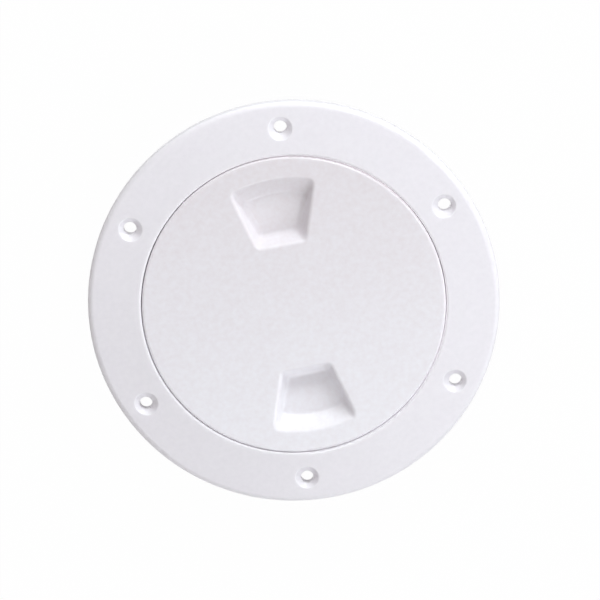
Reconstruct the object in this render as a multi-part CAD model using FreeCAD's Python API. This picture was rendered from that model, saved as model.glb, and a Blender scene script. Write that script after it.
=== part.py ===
"""Screw-out deck inspection plate, made as its three real pieces.

deck_ring   a moulded flange that is screwed down on the deck, with a threaded neck that drops
            through the deck's cut-out. Its top slopes down to a rounded outer shoulder, and its
            underside is cored out between the neck and the rim, round six screw bosses.
screw_lid   a moulded lid that sits flush in the flange. It has two finger pockets, a neck for the
            seal, and a threaded skirt, with ribs under its face.
o_ring      the rubber cord ring on the lid's neck, which beds on the flange's sloping seat.

The frame: Z is the axis of the opening and points up out of the deck. Z = 0 is the deck's surface,
which the flange's underside lies on, and +Y runs through one of the screw holes. The lid is
screwed right down. Every size is in millimetres.
"""

import FreeCAD
import Part

import math
import os

from FreeCAD import Vector

# Opening through the ring, a nominal 4 inch one
OPENING_RADIUS = 50.8

# Thread, the same form on both pieces
THREAD_PITCH = 4.5
THREAD_HEIGHT = 1.7
THREAD_CREST_WIDTH = 1.2
THREAD_FLANK_DEG = 30.0
THREAD_CLEARANCE = 0.3
THREAD_BITE = 0.4
THREAD_TURNS = 1.75
THREAD_DROP = 2.7
THREAD_RUNOUT_SHARE = 0.6
LID_THREAD_RISE = 0.6

# Neck through the deck
NECK_WALL = 3.5
NECK_DEPTH = 16.0
NECK_EDGE = 0.8

# Flange, in plan and in section
FLANGE_WIDTH = 17.0
FLANGE_HEIGHT = 6.4
FLANGE_SLOPE_DEG = 4.5
SHOULDER_RADIUS = 2.2
RIM_FOOT_RADIUS = 0.4
SEAT_WIDTH = 1.6
RECESS_EDGE_RADIUS = 0.7

# Screw holes, countersunk for a flat head
SCREW_COUNT = 6
SCREW_EDGE_DISTANCE = 9.0
SCREW_HOLE_RADIUS = 2.3
COUNTERSINK_RADIUS = 4.2
COUNTERSINK_ANGLE_DEG = 90.0
COUNTERSINK_EDGE_RADIUS = 0.3
FIRST_SCREW_DEG = 90.0

# Coring under the flange
RIM_WALL = 2.8
NECK_LAND = 2.4
CORE_SKIN = 2.7
SCREW_BOSS_WALL = 2.9
CORE_RIBS_PER_BAY = 2
CORE_RIB_WIDTH = 1.6

# Lid face, neck and skirt
LID_GAP = 0.3
LID_FLUSH_DROP = 0.1
LID_THICKNESS = 3.2
LID_EDGE_RADIUS = 0.9
LID_FOOT_RADIUS = 0.4
SEAL_NECK_STEP = 0.6
SEAL_NECK_MARGIN = 0.3
SKIRT_WALL = 2.6
SKIRT_MARGIN = 2.0
SKIRT_EDGE = 0.6

# Seal
SEAL_CORD_DIAMETER = 2.62
SEAL_CLEARANCE = 0.1

# Finger pockets, in the lid's own directions: the pocket's axis runs outward from the middle.
# The angles of its sides are to that axis, and its walls lean that far from upright.
POCKET_AXIS_DEG = 96.65
POCKET_INNER_EDGE = 22.6
POCKET_RIM_MARGIN = 1.5
POCKET_INNER_HALF_WIDTH = 8.6
POCKET_UNSCREW_SIDE_DEG = 14.8
POCKET_TIGHTEN_SIDE_DEG = 18.4
POCKET_DEPTH = 7.1
POCKET_FLOOR_RISE_DEG = 8.0
POCKET_INNER_LEAN_DEG = 27.0
POCKET_SIDE_LEAN_DEG = 20.0
POCKET_OUTER_LEAN_DEG = 52.0
POCKET_CORNER_RADIUS = 2.2
POCKET_FLOOR_RADIUS = 2.2
POCKET_EDGE_RADIUS = 1.4
POCKET_WALL = 2.4

# Ribs under the lid's face
LID_RIB_DEPTH = 4.5
LID_RIB_WIDTH = 2.0
HUB_RADIUS = 8.0
HUB_WALL = 2.0
SIDE_RIB_ANGLES_DEG = (-55.0, 0.0, 55.0)

# Worked-out sizes of the ring
BORE_RADIUS = OPENING_RADIUS + THREAD_HEIGHT
NECK_RADIUS = BORE_RADIUS + NECK_WALL
FLANGE_RADIUS = NECK_RADIUS + FLANGE_WIDTH
RECESS_RADIUS = BORE_RADIUS + SEAT_WIDTH
SCREW_CIRCLE_RADIUS = FLANGE_RADIUS - SCREW_EDGE_DISTANCE

# Worked-out sizes of the lid and the seal
LID_RADIUS = RECESS_RADIUS - LID_GAP
LID_TOP = FLANGE_HEIGHT - LID_FLUSH_DROP
LID_UNDERSIDE = LID_TOP - LID_THICKNESS
LID_CREST_RADIUS = BORE_RADIUS - THREAD_CLEARANCE
LID_ROOT_RADIUS = OPENING_RADIUS - THREAD_CLEARANCE
SEAL_NECK_RADIUS = LID_ROOT_RADIUS + SEAL_NECK_STEP
SKIRT_INNER_RADIUS = LID_ROOT_RADIUS - SKIRT_WALL
POCKET_OUTER_RADIUS = SKIRT_INNER_RADIUS - POCKET_RIM_MARGIN
SEAL_CORD_RADIUS = SEAL_CORD_DIAMETER / 2
SEAL_RADIUS = SEAL_NECK_RADIUS + SEAL_CLEARANCE + SEAL_CORD_RADIUS
SEAL_HEIGHT = LID_UNDERSIDE - SEAL_CLEARANCE - SEAL_CORD_RADIUS

# The seal's seat is a 45 degree cone: its height is the radius less this reach
SEAT_REACH = SEAL_RADIUS - SEAL_HEIGHT + (SEAL_CORD_RADIUS + SEAL_CLEARANCE) * math.sqrt(2)

# Heights of the middle of each thread's first tooth
RING_THREAD_BASE = BORE_RADIUS - SEAT_REACH - THREAD_DROP - THREAD_PITCH * THREAD_TURNS
LID_THREAD_BASE = RING_THREAD_BASE + LID_THREAD_RISE
SKIRT_BOTTOM = LID_THREAD_BASE - SKIRT_MARGIN

# A length past every part of the model, and the distance within which points count as one
REACH = 3 * FLANGE_RADIUS
NEAR = 0.01


def rounded_wire(corners):
    """A closed outline in the XZ plane from (radius, height, corner radius) triples."""
    points = [Vector(r, 0, z) for r, z, _ in corners]
    starts = []
    arcs = []
    ends = []
    for i, (_, _, radius) in enumerate(corners):
        here = points[i]
        back = (points[i - 1] - here).normalize()
        ahead = (points[(i + 1) % len(points)] - here).normalize()
        half = back.getAngle(ahead) / 2
        reach = radius / math.tan(half)
        starts.append(here + back * reach)
        ends.append(here + ahead * reach)
        if radius > 0:
            middle = (back + ahead).normalize()
            crown = here + middle * (radius / math.sin(half) - radius)
            arcs.append([Part.Arc(starts[i], crown, ends[i]).toShape()])
        else:
            arcs.append([])
    edges = []
    for i, arc in enumerate(arcs):
        edges += arc
        edges.append(Part.makeLine(ends[i], starts[(i + 1) % len(points)]))
    return Part.Wire(edges)


def turned(corners):
    """A solid turned about Z from a closed outline of (radius, height, corner radius) triples."""
    face = Part.Face(rounded_wire(corners))
    return face.revolve(Vector(0, 0, 0), Vector(0, 0, 1), 360)


def about_axis(shape, degrees):
    """A copy of the shape turned about Z."""
    copy = shape.copy()
    copy.rotate(Vector(0, 0, 0), Vector(0, 0, 1), degrees)
    return copy


def spoke(length, width, height, foot):
    """A straight rib from the axis out along +X, with its underside at a foot height."""
    return Part.makeBox(length, width, height, Vector(0, -width / 2, foot))


def lies_on(edge, solid):
    """Whether both ends and the middle of an edge are on a solid's surface."""
    middle = edge.valueAt((edge.FirstParameter + edge.LastParameter) / 2)
    points = [vertex.Point for vertex in edge.Vertexes] + [middle]
    return all(solid.distToShape(Part.Vertex(point))[0] < NEAR for point in points)


def flange_top(radius):
    """Height of the flange's sloping top at a radius."""
    return FLANGE_HEIGHT - (radius - RECESS_RADIUS) * math.tan(math.radians(FLANGE_SLOPE_DEG))


def helical_tooth(wall_radius, tip_radius, base):
    """A trapezoidal thread tooth from its wall to its tip, rising from a base height."""
    outward = 1 if tip_radius > wall_radius else -1
    half_tip = THREAD_CREST_WIDTH / 2
    flank = math.tan(math.radians(THREAD_FLANK_DEG))
    half_wall = half_tip + abs(tip_radius - wall_radius) * flank
    sunk = wall_radius - outward * THREAD_BITE
    half_sunk = half_wall + THREAD_BITE * flank
    section = Part.makePolygon([
        Vector(sunk, 0, base - half_sunk),
        Vector(tip_radius, 0, base - half_tip),
        Vector(tip_radius, 0, base + half_tip),
        Vector(sunk, 0, base + half_sunk),
        Vector(sunk, 0, base - half_sunk),
    ])
    spine = Part.makeHelix(THREAD_PITCH, THREAD_PITCH * THREAD_TURNS, wall_radius)
    spine.translate(Vector(0, 0, base))
    return Part.Wire(spine.Edges).makePipeShell([section], True, True)


def thread_ends(base):
    """The angle and height of each end of a thread that starts at angle 0."""
    return [(0.0, base), (360.0 * THREAD_TURNS, base + THREAD_PITCH * THREAD_TURNS)]


def lid_thread():
    """The lid's outside thread, each end running out on a flat that touches the wall."""
    tooth = helical_tooth(LID_ROOT_RADIUS, LID_CREST_RADIUS, LID_THREAD_BASE)
    for angle, height in thread_ends(LID_THREAD_BASE):
        flat = Part.makeBox(
            THREAD_PITCH, LID_CREST_RADIUS, THREAD_PITCH,
            Vector(LID_ROOT_RADIUS, -LID_CREST_RADIUS / 2, height - THREAD_PITCH / 2),
        )
        tooth = tooth.cut(about_axis(flat, angle))
    return tooth


def ring_thread():
    """The ring's inside thread, each end running out on a smaller arc that touches the bore."""
    tooth = helical_tooth(BORE_RADIUS, OPENING_RADIUS, RING_THREAD_BASE)
    scoop_radius = BORE_RADIUS * THREAD_RUNOUT_SHARE
    for angle, height in thread_ends(RING_THREAD_BASE):
        scoop = Part.makeCylinder(
            scoop_radius, THREAD_PITCH,
            Vector(BORE_RADIUS - scoop_radius, 0, height - THREAD_PITCH / 2),
        )
        tooth = tooth.cut(about_axis(scoop, angle))
    return tooth


def lid_thread_phase():
    """Turn of the lid's thread that puts its tooth midway between the ring's teeth."""
    rise = LID_THREAD_BASE - RING_THREAD_BASE - THREAD_PITCH / 2
    return 360.0 * rise / THREAD_PITCH


def screw_angles():
    """Where the screw holes lie round the flange, in degrees."""
    step = 360.0 / SCREW_COUNT
    return [FIRST_SCREW_DEG + i * step for i in range(SCREW_COUNT)]


def on_screw_circle(degrees):
    """The point of the screw circle at an angle, on the deck's surface."""
    angle = math.radians(degrees)
    return Vector(SCREW_CIRCLE_RADIUS * math.cos(angle), SCREW_CIRCLE_RADIUS * math.sin(angle), 0)


def ring_section():
    """The flange, seat and neck as one turned solid."""
    shoulder_top = flange_top(FLANGE_RADIUS)
    return turned([
        (RECESS_RADIUS, FLANGE_HEIGHT, RECESS_EDGE_RADIUS),
        (RECESS_RADIUS, RECESS_RADIUS - SEAT_REACH, 0),
        (BORE_RADIUS, BORE_RADIUS - SEAT_REACH, 0),
        (BORE_RADIUS, -NECK_DEPTH, NECK_EDGE),
        (NECK_RADIUS, -NECK_DEPTH, NECK_EDGE),
        (NECK_RADIUS, 0, 0),
        (FLANGE_RADIUS, 0, RIM_FOOT_RADIUS),
        (FLANGE_RADIUS, shoulder_top, SHOULDER_RADIUS),
    ])


def flange_core():
    """What is cored out under the flange: a channel that misses the screw bosses and the ribs."""
    inner = NECK_RADIUS + NECK_LAND
    outer = FLANGE_RADIUS - RIM_WALL
    below = -FLANGE_HEIGHT
    height = 2 * FLANGE_HEIGHT
    channel = turned([
        (inner, below, 0),
        (inner, flange_top(inner) - CORE_SKIN, 0),
        (outer, flange_top(outer) - CORE_SKIN, 0),
        (outer, below, 0),
    ])
    kept = []
    bay = 360.0 / SCREW_COUNT
    for angle in screw_angles():
        foot = on_screw_circle(angle) + Vector(0, 0, below)
        kept.append(Part.makeCylinder(SCREW_HOLE_RADIUS + SCREW_BOSS_WALL, height, foot))
        for i in range(CORE_RIBS_PER_BAY):
            rib = spoke(FLANGE_RADIUS, CORE_RIB_WIDTH, height, below)
            kept.append(about_axis(rib, angle + bay * (i + 1) / (CORE_RIBS_PER_BAY + 1)))
    return channel.cut(kept)


def sink_depth():
    """Depth of the countersink's cone below the sloping top, on the hole's axis."""
    slope = math.tan(math.radians(COUNTERSINK_ANGLE_DEG / 2))
    return (COUNTERSINK_RADIUS - SCREW_HOLE_RADIUS) / slope


def screw_hole(degrees):
    """One countersunk hole, square to the deck, with its rim on the sloping top."""
    foot = on_screw_circle(degrees)
    cone_foot = flange_top(SCREW_CIRCLE_RADIUS) - sink_depth()
    slope = math.tan(math.radians(COUNTERSINK_ANGLE_DEG / 2))
    above = FLANGE_HEIGHT
    shank = Part.makeCylinder(SCREW_HOLE_RADIUS, 2 * FLANGE_HEIGHT, foot - Vector(0, 0, above / 2))
    cone = Part.makeCone(
        SCREW_HOLE_RADIUS, COUNTERSINK_RADIUS + above * slope, sink_depth() + above,
        foot + Vector(0, 0, cone_foot),
    )
    return shank.fuse(cone)


def round_sink_rims(body):
    """Rounds the edge where each countersink opens in the flange's top."""
    feet = [on_screw_circle(angle) for angle in screw_angles()]
    sink_middle = flange_top(SCREW_CIRCLE_RADIUS) - sink_depth() / 2
    rims = []
    for edge in body.Edges:
        box = edge.BoundBox
        middle = Vector(box.Center.x, box.Center.y, 0)
        off = min(middle.distanceToPoint(foot) for foot in feet)
        if off < SCREW_HOLE_RADIUS and box.ZMin > sink_middle:
            rims.append(edge)
    return body.makeFillet(COUNTERSINK_EDGE_RADIUS, rims)


def deck_ring():
    """The flange with its threaded neck and six screw holes."""
    flange = ring_section().cut([screw_hole(angle) for angle in screw_angles()])
    flange = round_sink_rims(flange)
    return flange.cut(flange_core()).fuse(ring_thread())


def lid_section():
    """The lid's face, seal neck and skirt as one turned solid."""
    neck_foot = SEAL_HEIGHT - SEAL_CORD_RADIUS - SEAL_NECK_MARGIN
    return turned([
        (0, LID_TOP, 0),
        (LID_RADIUS, LID_TOP, LID_EDGE_RADIUS),
        (LID_RADIUS, LID_UNDERSIDE, LID_FOOT_RADIUS),
        (SEAL_NECK_RADIUS, LID_UNDERSIDE, 0),
        (SEAL_NECK_RADIUS, neck_foot, 0),
        (LID_ROOT_RADIUS, neck_foot - SEAL_NECK_STEP, 0),
        (LID_ROOT_RADIUS, SKIRT_BOTTOM, SKIRT_EDGE),
        (SKIRT_INNER_RADIUS, SKIRT_BOTTOM, SKIRT_EDGE),
        (SKIRT_INNER_RADIUS, LID_UNDERSIDE, SKIRT_EDGE),
        (0, LID_UNDERSIDE, 0),
    ])


def pocket_outline(height, grow):
    """A pocket's outline at a height over the lid's face, without its round outer end.

    Every wall is moved out by grow, measured square to the wall.
    """
    inner_lean = math.radians(POCKET_INNER_LEAN_DEG)
    side_lean = math.radians(POCKET_SIDE_LEAN_DEG)
    inner = POCKET_INNER_EDGE - height * math.tan(inner_lean) - grow / math.cos(inner_lean)
    outset = height * math.tan(side_lean) + grow / math.cos(side_lean)
    corners = []
    for side, turn in ((1, POCKET_UNSCREW_SIDE_DEG), (-1, POCKET_TIGHTEN_SIDE_DEG)):
        angle = math.radians(turn)
        foot = POCKET_INNER_HALF_WIDTH + outset / math.cos(angle)
        for reach in (inner, REACH):
            across = foot + (reach - POCKET_INNER_EDGE) * math.tan(angle)
            corners.append(Vector(reach, side * across, LID_TOP + height))
    near_left, far_left, near_right, far_right = corners
    return Part.makePolygon([near_left, far_left, far_right, near_right, near_left])


def pocket_floor(grow):
    """Everything under a pocket's floor, which rises outward, moved down by grow."""
    rise = math.radians(POCKET_FLOOR_RISE_DEG)
    below = Part.makeBox(REACH, REACH, REACH, Vector(0, -REACH / 2, -REACH))
    below.rotate(Vector(0, 0, 0), Vector(0, 1, 0), -POCKET_FLOOR_RISE_DEG)
    drop = POCKET_DEPTH + POCKET_INNER_EDGE * math.tan(rise) + grow / math.cos(rise)
    below.translate(Vector(0, 0, LID_TOP - drop))
    return below


def pocket_form(grow):
    """A pocket's form, open above the lid's face, with its walls moved out by grow.

    Three flat leaning walls, a cone about the lid's axis and the rising floor bound it. The
    corners and the floor's edge are rounded.
    """
    top = LID_THICKNESS
    bottom = -(POCKET_DEPTH + grow)
    walls = Part.makeLoft([pocket_outline(top, grow), pocket_outline(bottom, grow)], True, True)
    lean = math.radians(POCKET_OUTER_LEAN_DEG)
    at_face = POCKET_OUTER_RADIUS + grow / math.cos(lean)
    cone = Part.makeCone(
        at_face + bottom * math.tan(lean), at_face + top * math.tan(lean), top - bottom,
        Vector(0, 0, LID_TOP + bottom),
    )
    form = walls.common(cone)
    corners = [edge for edge in form.Edges if edge.BoundBox.ZLength > top - bottom - NEAR]
    form = form.makeFillet(POCKET_CORNER_RADIUS + grow, corners)
    floor = pocket_floor(grow)
    form = form.cut(floor)
    floor_edges = [edge for edge in form.Edges if lies_on(edge, floor)]
    return form.makeFillet(POCKET_FLOOR_RADIUS + grow, floor_edges)


def pocket_hollow():
    """The space that the fingers go into."""
    return pocket_form(0)


def pocket_box():
    """The box of plastic round a pocket, under the lid's face."""
    foot = LID_TOP - LID_THICKNESS / 2 - REACH
    inside = Part.makeCylinder(SKIRT_INNER_RADIUS + SKIRT_WALL / 2, REACH, Vector(0, 0, foot))
    return pocket_form(POCKET_WALL).common(inside)


def lid_ribs():
    """A round hub and the straight ribs that tie it to the pockets and the skirt."""
    foot = LID_UNDERSIDE - LID_RIB_DEPTH
    height = LID_RIB_DEPTH + LID_THICKNESS / 2
    hub = Part.makeCylinder(HUB_RADIUS, height, Vector(0, 0, foot))
    reach = SKIRT_INNER_RADIUS + SKIRT_WALL / 2
    arms = []
    for side in (0, 180):
        to_pocket = spoke(POCKET_INNER_EDGE, LID_RIB_WIDTH, height, foot)
        arms.append(about_axis(to_pocket, POCKET_AXIS_DEG + side))
        for angle in SIDE_RIB_ANGLES_DEG:
            to_skirt = spoke(reach, LID_RIB_WIDTH, height, foot)
            arms.append(about_axis(to_skirt, POCKET_AXIS_DEG + 90 + side + angle))
    core = Part.makeCylinder(HUB_RADIUS - HUB_WALL, height, Vector(0, 0, foot))
    return hub.fuse(arms).cut(core)


def screw_lid():
    """The lid with its thread, its ribs and its two finger pockets."""
    body = lid_section().fuse(about_axis(lid_thread(), lid_thread_phase()))
    body = body.fuse(lid_ribs())
    box = pocket_box()
    hollow = pocket_hollow()
    turns = (POCKET_AXIS_DEG, POCKET_AXIS_DEG + 180)
    body = body.fuse([about_axis(box, turn) for turn in turns])
    body = body.cut([about_axis(hollow, turn) for turn in turns])
    return round_pocket_rims(body)


def round_pocket_rims(body):
    """Rounds the edge where each pocket opens in the lid's face."""
    rim = []
    for edge in body.Edges:
        box = edge.BoundBox
        in_face = box.ZLength < NEAR and abs(box.ZMax - LID_TOP) < NEAR
        far = max(math.hypot(v.X, v.Y) for v in edge.Vertexes)
        if in_face and far < SKIRT_INNER_RADIUS:
            rim.append(edge)
    return body.makeFillet(POCKET_EDGE_RADIUS, rim)


def o_ring():
    """The round cord ring on the lid's neck."""
    return Part.makeTorus(SEAL_RADIUS, SEAL_CORD_RADIUS, Vector(0, 0, SEAL_HEIGHT))


def main():
    """Builds each piece and writes it to its own file."""
    os.makedirs("parts", exist_ok=True)
    pieces = {"deck_ring": deck_ring(), "screw_lid": screw_lid(), "o_ring": o_ring()}
    for name, shape in pieces.items():
        shape.exportStep(os.path.join("parts", name + ".step"))
        print(name, "solids", len(shape.Solids), "volume", round(shape.Volume), "valid", shape.isValid())


main()
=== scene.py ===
"""Looks of the deck inspection plate: the finish of its three pieces, and the studio round them.

Lengths are in metres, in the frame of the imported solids: Z is the axis of the opening and points
up out of the deck, and +Y runs through one of the screw holes.
"""

import logging
import math
from dataclasses import dataclass
from enum import Enum

import bpy
import numpy as np
from mathutils import Matrix, Vector


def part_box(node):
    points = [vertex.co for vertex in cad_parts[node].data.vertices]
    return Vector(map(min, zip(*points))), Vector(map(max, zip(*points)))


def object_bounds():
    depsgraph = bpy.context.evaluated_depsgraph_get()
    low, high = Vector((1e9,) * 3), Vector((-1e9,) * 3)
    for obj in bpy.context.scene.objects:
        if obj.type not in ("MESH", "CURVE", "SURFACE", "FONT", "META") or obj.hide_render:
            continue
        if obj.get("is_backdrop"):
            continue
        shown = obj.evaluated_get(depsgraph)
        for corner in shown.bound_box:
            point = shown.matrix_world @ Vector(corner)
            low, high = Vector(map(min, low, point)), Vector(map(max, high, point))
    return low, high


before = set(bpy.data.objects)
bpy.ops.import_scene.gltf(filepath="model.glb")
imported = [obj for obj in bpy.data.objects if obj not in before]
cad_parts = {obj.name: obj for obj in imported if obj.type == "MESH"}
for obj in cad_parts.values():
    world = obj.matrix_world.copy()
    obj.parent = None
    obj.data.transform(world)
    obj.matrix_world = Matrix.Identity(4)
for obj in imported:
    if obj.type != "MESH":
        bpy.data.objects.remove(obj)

LOG = logging.getLogger("deck_plate")
MILLIMETRE = 0.001
FULL_TURN = 2.0 * math.pi
WHITE = (1.0, 1.0, 1.0, 1.0)
EVEN_GLOW = (1.0, 1.0, 1.0)

Colour = tuple[float, float, float]


def linear(level: float) -> float:
    """One colour channel from its display value to light, by the sRGB curve."""
    return level / 12.92 if level <= 0.04045 else ((level + 0.055) / 1.055) ** 2.4


def as_light(colour: Colour) -> tuple[float, float, float, float]:
    """A display colour as the linear colour with alpha that a shader socket takes."""
    return (*(linear(channel) for channel in colour), 1.0)


def grid_object(name: str, points: np.ndarray) -> bpy.types.Object:
    """Makes an object of quads from a grid of points whose columns close on themselves.

    Each quad joins a point, the one below it in the next row, and the two beside them in the next
    column, where the first column follows the last.

    Args:
        name: The new object's name.
        points: Points of shape (rows, columns, 3), each row a closed loop.

    Returns:
        The new object, linked to the scene.
    """
    rows, columns, _ = points.shape
    index = np.arange(rows * columns).reshape(rows, columns)
    following = np.roll(index, -1, axis=1)
    quads = np.stack([index[:-1], index[1:], following[1:], following[:-1]], axis=-1)
    mesh = bpy.data.meshes.new(name)
    mesh.from_pydata(points.reshape(-1, 3).tolist(), [], quads.reshape(-1, 4).tolist())
    mesh.shade_smooth()
    made = bpy.data.objects.new(name, mesh)
    bpy.context.scene.collection.objects.link(made)
    return made


class NodeBoard:
    """A node tree with short ways to place and wire its nodes."""

    def __init__(self, tree: bpy.types.NodeTree) -> None:
        """Takes the tree over, and empties it."""
        self.tree = tree
        self.tree.nodes.clear()

    def add(self, kind: str, **settings: object) -> bpy.types.Node:
        """Places a node.

        Args:
            kind: The node's type, such as ShaderNodeTexNoise.
            settings: Its properties by name, or the values of its inputs where no
                property has that name, with spaces written as underscores.

        Returns:
            The new node.
        """
        node = self.tree.nodes.new(kind)
        for name, value in settings.items():
            if hasattr(node, name):
                setattr(node, name, value)
            else:
                node.inputs[name.replace("_", " ")].default_value = value
        return node

    def wire(self, source: bpy.types.NodeSocket, target: bpy.types.NodeSocket) -> None:
        """Joins an output to an input."""
        self.tree.links.new(source, target)

    def math(self, operation: str, first: object, second: object) -> bpy.types.NodeSocket:
        """Places a sum on two values.

        Args:
            operation: The sum's name, such as MULTIPLY.
            first: A socket or a number.
            second: A socket or a number.

        Returns:
            The result's socket.
        """
        node = self.add("ShaderNodeMath", operation=operation)
        for slot, value in zip(node.inputs, (first, second)):
            if isinstance(value, bpy.types.NodeSocket):
                self.wire(value, slot)
            else:
                slot.default_value = value
        return node.outputs[0]

    def ramp(
        self, value: bpy.types.NodeSocket, given: tuple[float, float], wanted: tuple[float, float]
    ) -> bpy.types.NodeSocket:
        """Places a smooth step from one value to another.

        Args:
            value: The socket that the step follows.
            given: Where on it the step starts and ends.
            wanted: The results there.

        Returns:
            The result's socket.
        """
        node = self.add("ShaderNodeMapRange", interpolation_type="SMOOTHSTEP")
        self.wire(value, node.inputs["Value"])
        node.inputs["From Min"].default_value, node.inputs["From Max"].default_value = given
        node.inputs["To Min"].default_value, node.inputs["To Max"].default_value = wanted
        return node.outputs["Result"]

    def noise(self, place: bpy.types.NodeSocket, size: float, detail: float) -> bpy.types.NodeSocket:
        """Places a noise.

        Args:
            place: The point's place on the piece.
            size: The size of the noise's spots.
            detail: Its octaves.

        Returns:
            The noise's value, from 0 to 1.
        """
        node = self.add("ShaderNodeTexNoise", Scale=1.0 / size, Detail=detail)
        self.wire(place, node.inputs["Vector"])
        return node.outputs["Fac"]

    def seen_rays(self) -> bpy.types.NodeSocket:
        """Places a mask of what is seen, as against what gives light.

        Returns:
            A socket that is 1 for rays from the camera, also by way of gloss or glass, and else 0.
        """
        path = self.add("ShaderNodeLightPath").outputs
        direct = self.math("MAXIMUM", path["Is Camera Ray"], path["Is Glossy Ray"])
        return self.math("MAXIMUM", direct, path["Is Transmission Ray"])


class ToolFinish(Enum):
    """How the mould's steel was finished: size and height of the grain it leaves, in millimetres."""

    POLISHED = (1.6, 0.004)
    SATIN = (0.45, 0.006)
    FINE_GRAIN = (0.32, 0.010)


@dataclass(frozen=True)
class SkinGroup:
    """The shared skin of a moulded piece: a fine grain, a mottle, a slow drift of tone and gloss.

    The tone goes from Base to a lighter tone across the piece. This is painted light: the side that the
    lamps fall on is made lighter.
    Drift and Mottle say how far the slow and the fine noise move it either way between the two.
    The sizes are those of the noise, and the details are its octaves.
    """

    name: str = "Moulded skin"
    drift_size: float = 38.0 * MILLIMETRE
    drift_detail: float = 1.0
    mottle_size: float = 1.7 * MILLIMETRE
    mottle_detail: float = 3.0
    grain_detail: float = 2.0

    def build(self) -> bpy.types.NodeTree:
        """Makes the node group.

        Returns:
            The group, with the outputs Color, Roughness and Height.
        """
        group = bpy.data.node_groups.new(self.name, "ShaderNodeTree")
        board = NodeBoard(group)
        self._sockets(group)
        given = board.add("NodeGroupInput")
        result = board.add("NodeGroupOutput")
        place = board.add("ShaderNodeTexCoord").outputs["Object"]

        drift = board.noise(place, self.drift_size, self.drift_detail)
        mottle = board.noise(place, self.mottle_size, self.mottle_detail)
        tone_and_painted_shading = board.add("ShaderNodeMix", data_type="RGBA", clamp_factor=False)
        # Painted light: the share starts as a gradient across the piece, lighter on the side that the
        # lamps fall on.
        share = self._painted_light_share(board, place, given)
        for noise, name in ((drift, "Drift"), (mottle, "Mottle")):
            either_way = board.math("SUBTRACT", noise, 0.5)
            share = board.math("ADD", share, board.math("MULTIPLY", either_way, given.outputs[name]))
        board.wire(share, tone_and_painted_shading.inputs["Factor"])
        board.wire(given.outputs["Base"], tone_and_painted_shading.inputs["A"])
        board.wire(given.outputs["Far Tone"], tone_and_painted_shading.inputs["B"])
        board.wire(tone_and_painted_shading.outputs["Result"], result.inputs["Color"])

        grain = board.add("ShaderNodeTexNoise", Detail=self.grain_detail)
        board.wire(place, grain.inputs["Vector"])
        board.wire(board.math("DIVIDE", 1.0, given.outputs["Grain Size"]), grain.inputs["Scale"])
        board.wire(grain.outputs["Fac"], result.inputs["Height"])

        spread = board.math("MULTIPLY", drift, given.outputs["Roughness Spread"])
        board.wire(board.math("ADD", given.outputs["Roughness"], spread), result.inputs["Roughness"])
        return group

    def _painted_light_share(
        self, board: NodeBoard, place: bpy.types.NodeSocket, given: bpy.types.Node
    ) -> bpy.types.NodeSocket:
        """Finds how far a point lies along the painted light gradient.

        It is the point's distance from the axis in the direction of the gradient's bearing, over its
        width, plus a half. Where it is 1, the piece gets the lighter tone as painted light.

        Args:
            board: The group's board.
            place: The point's place on the piece.
            given: The group's input node.

        Returns:
            A socket that is 0 at the piece's near edge and 1 at its far edge.
        """
        apart = board.add("ShaderNodeSeparateXYZ")
        board.wire(place, apart.inputs["Vector"])
        bearing = given.outputs["Flow Bearing"]
        east = board.math("MULTIPLY", apart.outputs["X"], board.math("COSINE", bearing, 0.0))
        north = board.math("MULTIPLY", apart.outputs["Y"], board.math("SINE", bearing, 0.0))
        along = board.math("DIVIDE", board.math("ADD", east, north), given.outputs["Flow Width"])
        return board.math("ADD", along, 0.5)

    def _sockets(self, group: bpy.types.NodeTree) -> None:
        """Gives the group its named inputs and outputs.

        Args:
            group: The group, still without sockets.
        """
        face = group.interface
        for name, kind in (
            ("Base", "NodeSocketColor"),
            ("Far Tone", "NodeSocketColor"),
            ("Flow Bearing", "NodeSocketFloat"),
            ("Flow Width", "NodeSocketFloat"),
            ("Drift", "NodeSocketFloat"),
            ("Mottle", "NodeSocketFloat"),
            ("Grain Size", "NodeSocketFloat"),
            ("Roughness", "NodeSocketFloat"),
            ("Roughness Spread", "NodeSocketFloat"),
        ):
            face.new_socket(name, in_out="INPUT", socket_type=kind)
        for name, kind in (
            ("Color", "NodeSocketColor"),
            ("Roughness", "NodeSocketFloat"),
            ("Height", "NodeSocketFloat"),
        ):
            face.new_socket(name, in_out="OUTPUT", socket_type=kind)


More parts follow.
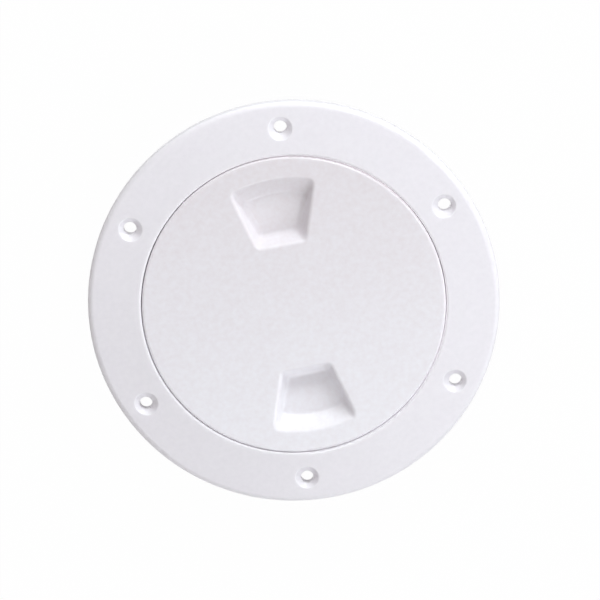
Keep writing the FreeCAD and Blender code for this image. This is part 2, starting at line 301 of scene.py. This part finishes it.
@dataclass(frozen=True)
class EdgeGroup:
    """Painted light and shade at the plastic's edges: a painted glow beside the groove, and painted
    shade on the rim's foot.

    The glow is painted light, which the plastic emits though it is no lamp. It goes from its lit
    strength on the lamps' side to its shaded strength on the other. It is full up to its core width
    from the groove's middle and gone at glow_reach, and there is none below its floor height. The
    foot's painted shade scales the plastic's colour, making the rim's outer face darker.
    """

    name: str = "Painted edge glow and shade"
    groove_radius: float = 53.95 * MILLIMETRE
    painted_glow_core: float = 0.15 * MILLIMETRE
    glow_reach: float = 0.50 * MILLIMETRE
    painted_glow_floor: float = 3.0 * MILLIMETRE
    lamp_bearing_deg: float = 22.0
    painted_glow_lit: float = 0.20
    painted_glow_shaded: float = 0.05
    painted_shade_start: float = 72.65 * MILLIMETRE
    painted_shade_end: float = 72.95 * MILLIMETRE
    painted_shade_tone: float = 0.84

    def build(self) -> bpy.types.NodeTree:
        """Makes the node group.

        Returns:
            The group, with the outputs of the painted glow and of the painted shade's tone.
        """
        group = bpy.data.node_groups.new(self.name, "ShaderNodeTree")
        board = NodeBoard(group)
        for name in ("Painted Glow", "Tone"):
            group.interface.new_socket(name, in_out="OUTPUT", socket_type="NodeSocketFloat")
        result = board.add("NodeGroupOutput")
        place = board.add("ShaderNodeSeparateXYZ")
        board.wire(board.add("ShaderNodeTexCoord").outputs["Object"], place.inputs["Vector"])
        x, y, z = place.outputs
        across = board.math("MULTIPLY", x, x)
        radius = board.math("SQRT", board.math("ADD", across, board.math("MULTIPLY", y, y)), 0.0)

        # Painted light: a glow beside the groove, stronger on the side towards the lamps, emitted though
        # the plastic is no lamp.
        bearing = math.radians(self.lamp_bearing_deg)
        east = board.math("MULTIPLY", x, math.cos(bearing))
        toward = board.math("ADD", east, board.math("MULTIPLY", y, math.sin(bearing)))
        half = board.math("MULTIPLY", board.math("ADD", board.math("DIVIDE", toward, radius), 1.0), 0.5)
        lit = board.math("MULTIPLY", board.math("MULTIPLY", half, half), self.painted_glow_lit)
        off = board.math("ABSOLUTE", board.math("SUBTRACT", radius, self.groove_radius), 0.0)
        near = board.ramp(off, (self.painted_glow_core, self.glow_reach), (1.0, 0.0))
        above = board.ramp(z, (self.painted_glow_floor, self.painted_glow_floor + self.glow_reach), (0.0, 1.0))
        strength = board.math("MULTIPLY", board.math("ADD", lit, self.painted_glow_shaded), above)
        board.wire(board.math("MULTIPLY", strength, near), result.inputs["Painted Glow"])

        # Painted shade: the rim's outer face and foot are darkened.
        tone_and_painted_shading = board.ramp(radius, (self.painted_shade_start, self.painted_shade_end), (1.0, self.painted_shade_tone))
        board.wire(tone_and_painted_shading, result.inputs["Tone"])
        return group


@dataclass(frozen=True)
class Finish:
    """One piece's material: its colour, its gloss and the grain of its surface.

    Colours are display values. The tone goes from base to a lighter tone along a bearing, over a
    width, as painted light on the side that the lamps fall on. The grain is that of the tool, glow is
    the share of the light that goes into the plastic and comes out again within about glow_reach,
    and the painted lip glow scales the edges' painted glow, which the plastic emits though it is no
    lamp.
    """

    name: str
    base: Colour
    painted_lit_side: Colour
    painted_light_bearing_deg: float
    painted_light_width: float
    drift: float
    mottle: float
    tool: ToolFinish
    roughness: float
    roughness_spread: float
    index: float = 1.49
    glow: float = 0.0
    glow_reach: float = 1.5 * MILLIMETRE
    painted_lip_glow: float = 0.0

    def material(self, skin: bpy.types.NodeTree, edges: bpy.types.NodeTree) -> bpy.types.Material:
        """Makes the material.

        Args:
            skin: The shared skin group.
            edges: The shared edge group, whose painted glow counts as many times as the painted lip
                glow.

        Returns:
            The new material.
        """
        made = bpy.data.materials.new(self.name)
        made.use_nodes = True
        board = NodeBoard(made.node_tree)
        size, height = self.tool.value
        surface = board.add(
            "ShaderNodeGroup",
            node_tree=skin,
            Base=as_light(self.base),
            Far_Tone=as_light(self.painted_lit_side),
            Flow_Bearing=math.radians(self.painted_light_bearing_deg),
            Flow_Width=self.painted_light_width,
            Drift=self.drift,
            Mottle=self.mottle,
            Grain_Size=size * MILLIMETRE,
            Roughness=self.roughness,
            Roughness_Spread=self.roughness_spread,
        )
        bump = board.add("ShaderNodeBump", Distance=height * MILLIMETRE)
        board.wire(surface.outputs["Height"], bump.inputs["Height"])

        shader = board.add(
            "ShaderNodeBsdfPrincipled",
            IOR=self.index,
            Subsurface_Weight=self.glow,
            Subsurface_Radius=EVEN_GLOW,
            Subsurface_Scale=self.glow_reach,
            Emission_Strength=self.painted_lip_glow,
        )
        # The colour carries the painted shade on the rim's foot, and the emission carries the painted
        # glow beside the groove.
        edge = board.add("ShaderNodeGroup", node_tree=edges)
        colour_with_painted_shading = board.add("ShaderNodeVectorMath", operation="SCALE")
        board.wire(surface.outputs["Color"], colour_with_painted_shading.inputs["Vector"])
        board.wire(edge.outputs["Tone"], colour_with_painted_shading.inputs["Scale"])
        board.wire(colour_with_painted_shading.outputs["Vector"], shader.inputs["Base Color"])
        painted_glow_colour = board.add("ShaderNodeVectorMath", operation="SCALE")
        board.wire(colour_with_painted_shading.outputs["Vector"], painted_glow_colour.inputs["Vector"])
        board.wire(edge.outputs["Painted Glow"], painted_glow_colour.inputs["Scale"])
        board.wire(painted_glow_colour.outputs["Vector"], shader.inputs["Emission Color"])
        board.wire(surface.outputs["Roughness"], shader.inputs["Roughness"])
        board.wire(bump.outputs["Normal"], shader.inputs["Normal"])

        out = board.add("ShaderNodeOutputMaterial")
        board.wire(shader.outputs["BSDF"], out.inputs["Surface"])
        return made


@dataclass
class MouldedPiece:
    """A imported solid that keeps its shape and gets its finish."""

    node: str
    finish: Finish

    def dress(self, skin: bpy.types.NodeTree, edges: bpy.types.NodeTree) -> None:
        """Puts the finish on the node.

        Args:
            skin: The shared skin group.
            edges: The shared edge group.
        """
        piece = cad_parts[self.node]
        piece.data.materials.clear()
        piece.data.materials.append(self.finish.material(skin, edges))
        low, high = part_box(self.node)
        across = (high - low) / MILLIMETRE
        LOG.info("%s %.1f x %.1f x %.1f mm, %s", self.node, *across, self.finish.name)


@dataclass(frozen=True)
class SoftBox:
    """A square studio lamp, aimed at the middle of the plate.

    Its bearing goes round from +X towards +Y, and its height is the angle above the deck.
    """

    name: str
    bearing_deg: float
    height_deg: float
    distance: float
    side: float
    watts: float
    colour: Colour

    def build(self) -> None:
        """Places the lamp and turns it towards the origin."""
        lamp = bpy.data.lights.new(self.name, "AREA")
        lamp.shape = "SQUARE"
        lamp.size = self.side
        lamp.energy = self.watts
        lamp.color = self.colour
        made = bpy.data.objects.new(self.name, lamp)
        bpy.context.scene.collection.objects.link(made)
        bearing = math.radians(self.bearing_deg)
        height = math.radians(self.height_deg)
        out = math.cos(height)
        away = Vector((out * math.cos(bearing), out * math.sin(bearing), math.sin(height)))
        made.location = away * self.distance
        made.rotation_mode = "QUATERNION"
        made.rotation_quaternion = away.to_track_quat("Z", "Y")


@dataclass(frozen=True)
class Studio:
    """A white floor under the plate, an even sky and the lamps.

    The floor has the deck's round cut-out, which the neck goes through and the flange hides, so
    that light from below reaches the lid's underside. Where the floor is seen, it is lifted to
    whiteness near the plate, and to full white from fade_end on. The sky is seen at full white,
    and gives light at the strength sky.
    """

    floor_height: float
    lamps: tuple[SoftBox, ...]
    floor_radius: float = 6.0
    cut_out_radius: float = 57.0 * MILLIMETRE
    floor_rings: int = 12
    floor_sides: int = 96
    floor_albedo: float = 0.70
    whiteness: float = 0.985
    fade_start: float = 0.14
    fade_end: float = 0.45
    sky: float = 0.34
    sky_colour: Colour = (1.0, 0.945, 0.925)

    def build(self) -> None:
        """Makes the floor, the sky and the lamps."""
        floor = grid_object("studio_floor", self._ring())
        floor.data.materials.append(self._floor_material())
        floor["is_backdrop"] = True
        self._sky()
        for lamp in self.lamps:
            lamp.build()

    def _ring(self) -> np.ndarray:
        """Works out a flat ring: radius grows with the square of the row, columns go round.

        Returns:
            Its points, of shape (rows, columns, 3).
        """
        rows = np.linspace(0.0, 1.0, self.floor_rings)
        turns = FULL_TURN * np.arange(self.floor_sides) / self.floor_sides
        row, angle = np.meshgrid(rows, turns, indexing="ij")
        radius = self.cut_out_radius + (self.floor_radius - self.cut_out_radius) * row ** 2
        height = np.full_like(angle, self.floor_height)
        return np.stack([radius * np.cos(angle), radius * np.sin(angle), height], axis=-1)

    def _floor_material(self) -> bpy.types.Material:
        """Makes white card, clear from below, that is lifted to white where it is seen.

        Returns:
            The new material.
        """
        made = bpy.data.materials.new("white card")
        made.use_nodes = True
        board = NodeBoard(made.node_tree)
        place = board.add("ShaderNodeTexCoord").outputs["Object"]
        reach = board.add("ShaderNodeVectorMath", operation="LENGTH")
        board.wire(place, reach.inputs[0])
        far = (self.fade_start, self.fade_end)
        fade = board.ramp(reach.outputs["Value"], far, (self.whiteness, 1.0))
        card = board.add("ShaderNodeBsdfDiffuse", Color=(self.floor_albedo,) * 3 + (1.0,))
        white = board.add("ShaderNodeEmission", Strength=1.0)
        lifted = board.add("ShaderNodeMixShader")
        board.wire(board.math("MULTIPLY", board.seen_rays(), fade), lifted.inputs["Fac"])
        board.wire(card.outputs["BSDF"], lifted.inputs[1])
        board.wire(white.outputs["Emission"], lifted.inputs[2])
        below = board.add("ShaderNodeMixShader")
        clear = board.add("ShaderNodeBsdfTransparent")
        board.wire(board.add("ShaderNodeNewGeometry").outputs["Backfacing"], below.inputs["Fac"])
        board.wire(lifted.outputs["Shader"], below.inputs[1])
        board.wire(clear.outputs["BSDF"], below.inputs[2])
        out = board.add("ShaderNodeOutputMaterial")
        board.wire(below.outputs["Shader"], out.inputs["Surface"])
        return made

    def _sky(self) -> None:
        """Makes an even sky, which is full white where seen, and fainter and warm as light."""
        world = bpy.data.worlds.new("studio sky")
        world.use_nodes = True
        board = NodeBoard(world.node_tree)
        sky = board.add("ShaderNodeBackground")
        lift = board.math("MULTIPLY", board.seen_rays(), 1.0 - self.sky)
        board.wire(board.math("ADD", lift, self.sky), sky.inputs["Strength"])
        tint = board.add("ShaderNodeMix", data_type="RGBA")
        tint.inputs["A"].default_value = (*self.sky_colour, 1.0)
        tint.inputs["B"].default_value = WHITE
        board.wire(board.seen_rays(), tint.inputs["Factor"])
        board.wire(tint.outputs["Result"], sky.inputs["Color"])
        out = board.add("ShaderNodeOutputWorld")
        board.wire(sky.outputs["Background"], out.inputs["Surface"])
        bpy.context.scene.world = world


@dataclass(frozen=True)
class PhotoCamera:
    """The photograph's camera, nearly over the plate.

    The picture is 600 pixels square. The camera stands on the +Y side, and its picture's upward
    direction lies a little clockwise from +Y.
    """

    tilt_deg: float = 13.72
    bearing_deg: float = -1.96
    upward_deg: float = 4.27
    distance: float = 0.935
    pixels_per_metre: float = 2811.0
    plate_x_px: float = 293.9
    plate_y_px: float = 302.2
    picture_px: float = 600.0
    sensor_mm: float = 36.0

    def build(self) -> None:
        """Places the camera and makes it the scene's."""
        tilt = math.radians(self.tilt_deg)
        bearing = math.radians(self.bearing_deg)
        upward = math.radians(self.upward_deg)
        lean = math.sin(tilt)
        back = Vector((-math.sin(bearing) * lean, math.cos(bearing) * lean, math.cos(tilt)))
        up = Vector((math.sin(upward), math.cos(upward), 0.0))
        up = (up - back * up.dot(back)).normalized()
        right = up.cross(back)
        half = self.picture_px / 2
        across = (half - self.plate_x_px) / self.pixels_per_metre
        above = (self.plate_y_px - half) / self.pixels_per_metre
        lens = bpy.data.cameras.new("photo_camera")
        lens.sensor_width = self.sensor_mm
        lens.lens = self.pixels_per_metre * self.distance * self.sensor_mm / self.picture_px
        made = bpy.data.objects.new("photo_camera", lens)
        bpy.context.scene.collection.objects.link(made)
        turn = Matrix((right, up, back)).transposed().to_4x4()
        made.matrix_world = Matrix.Translation(back * self.distance + right * across + up * above) @ turn
        bpy.context.scene.camera = made


# In each finish the far tone is painted light, lighter on the side that the light falls on, and the lip
# glow sets the painted glow.
RING_FINISH = Finish(
    name="ring satin white plastic",
    base=(0.913, 0.901, 0.916),
    painted_lit_side=(0.927, 0.915, 0.930),
    painted_light_bearing_deg=100.0,
    painted_light_width=128.0 * MILLIMETRE,
    drift=0.5,
    mottle=2.4,
    tool=ToolFinish.SATIN,
    roughness=0.34,
    roughness_spread=0.06,
    glow=1.0,
    glow_reach=1.6 * MILLIMETRE,
    painted_lip_glow=1.0,
)
LID_FINISH = Finish(
    name="lid fine grained white plastic",
    base=(0.907, 0.888, 0.901),
    painted_lit_side=(0.929, 0.920, 0.936),
    painted_light_bearing_deg=265.0,
    painted_light_width=88.0 * MILLIMETRE,
    drift=0.3,
    mottle=1.85,
    tool=ToolFinish.FINE_GRAIN,
    roughness=0.27,
    roughness_spread=0.05,
    glow=1.0,
    glow_reach=0.9 * MILLIMETRE,
    painted_lip_glow=1.0,
)
SEAL_FINISH = Finish(
    name="seal black nitrile rubber",
    base=(0.17, 0.17, 0.175),
    painted_lit_side=(0.20, 0.20, 0.20),
    painted_light_bearing_deg=0.0,
    painted_light_width=108.0 * MILLIMETRE,
    drift=0.5,
    mottle=0.5,
    tool=ToolFinish.POLISHED,
    roughness=0.48,
    roughness_spread=0.10,
    index=1.52,
)

# Name, bearing and height in degrees, distance and side in metres, watts, colour.
LAMPS = (
    SoftBox("window_right", 60.0, 22.0, 1.6, 0.7, 17.0, (0.91, 0.975, 1.0)),
    SoftBox("window_far", 100.0, 25.0, 1.6, 0.7, 6.2, (0.95, 0.985, 1.0)),
    SoftBox("card_near", 280.0, 30.0, 1.6, 0.7, 6.1, (0.89, 0.97, 1.0)),
    SoftBox("card_right", 330.0, 30.0, 1.6, 0.7, 5.2, (0.88, 0.93, 1.0)),
    SoftBox("card_high", 294.0, 62.0, 1.6, 0.55, 3.9, (0.95, 0.98, 1.0)),
)


def corners() -> list[list[float]]:
    """The object's lowest and highest corner, as plain lists."""
    return [list(corner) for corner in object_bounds()]


def main() -> None:
    """Dresses the pieces in order, then builds the studio and the camera round them."""
    logging.basicConfig(level=logging.INFO, format="%(name)s: %(message)s")
    packed = corners()
    skin = SkinGroup().build()
    edges = EdgeGroup().build()
    pieces = (
        MouldedPiece("deck_ring", RING_FINISH),
        MouldedPiece("screw_lid", LID_FINISH),
        MouldedPiece("o_ring", SEAL_FINISH),
    )
    for piece in pieces:
        piece.dress(skin, edges)
    Studio(floor_height=packed[0][2], lamps=LAMPS).build()
    PhotoCamera().build()
    bpy.context.scene.view_settings.view_transform = "Standard"


if __name__ == "__main__":
    main()
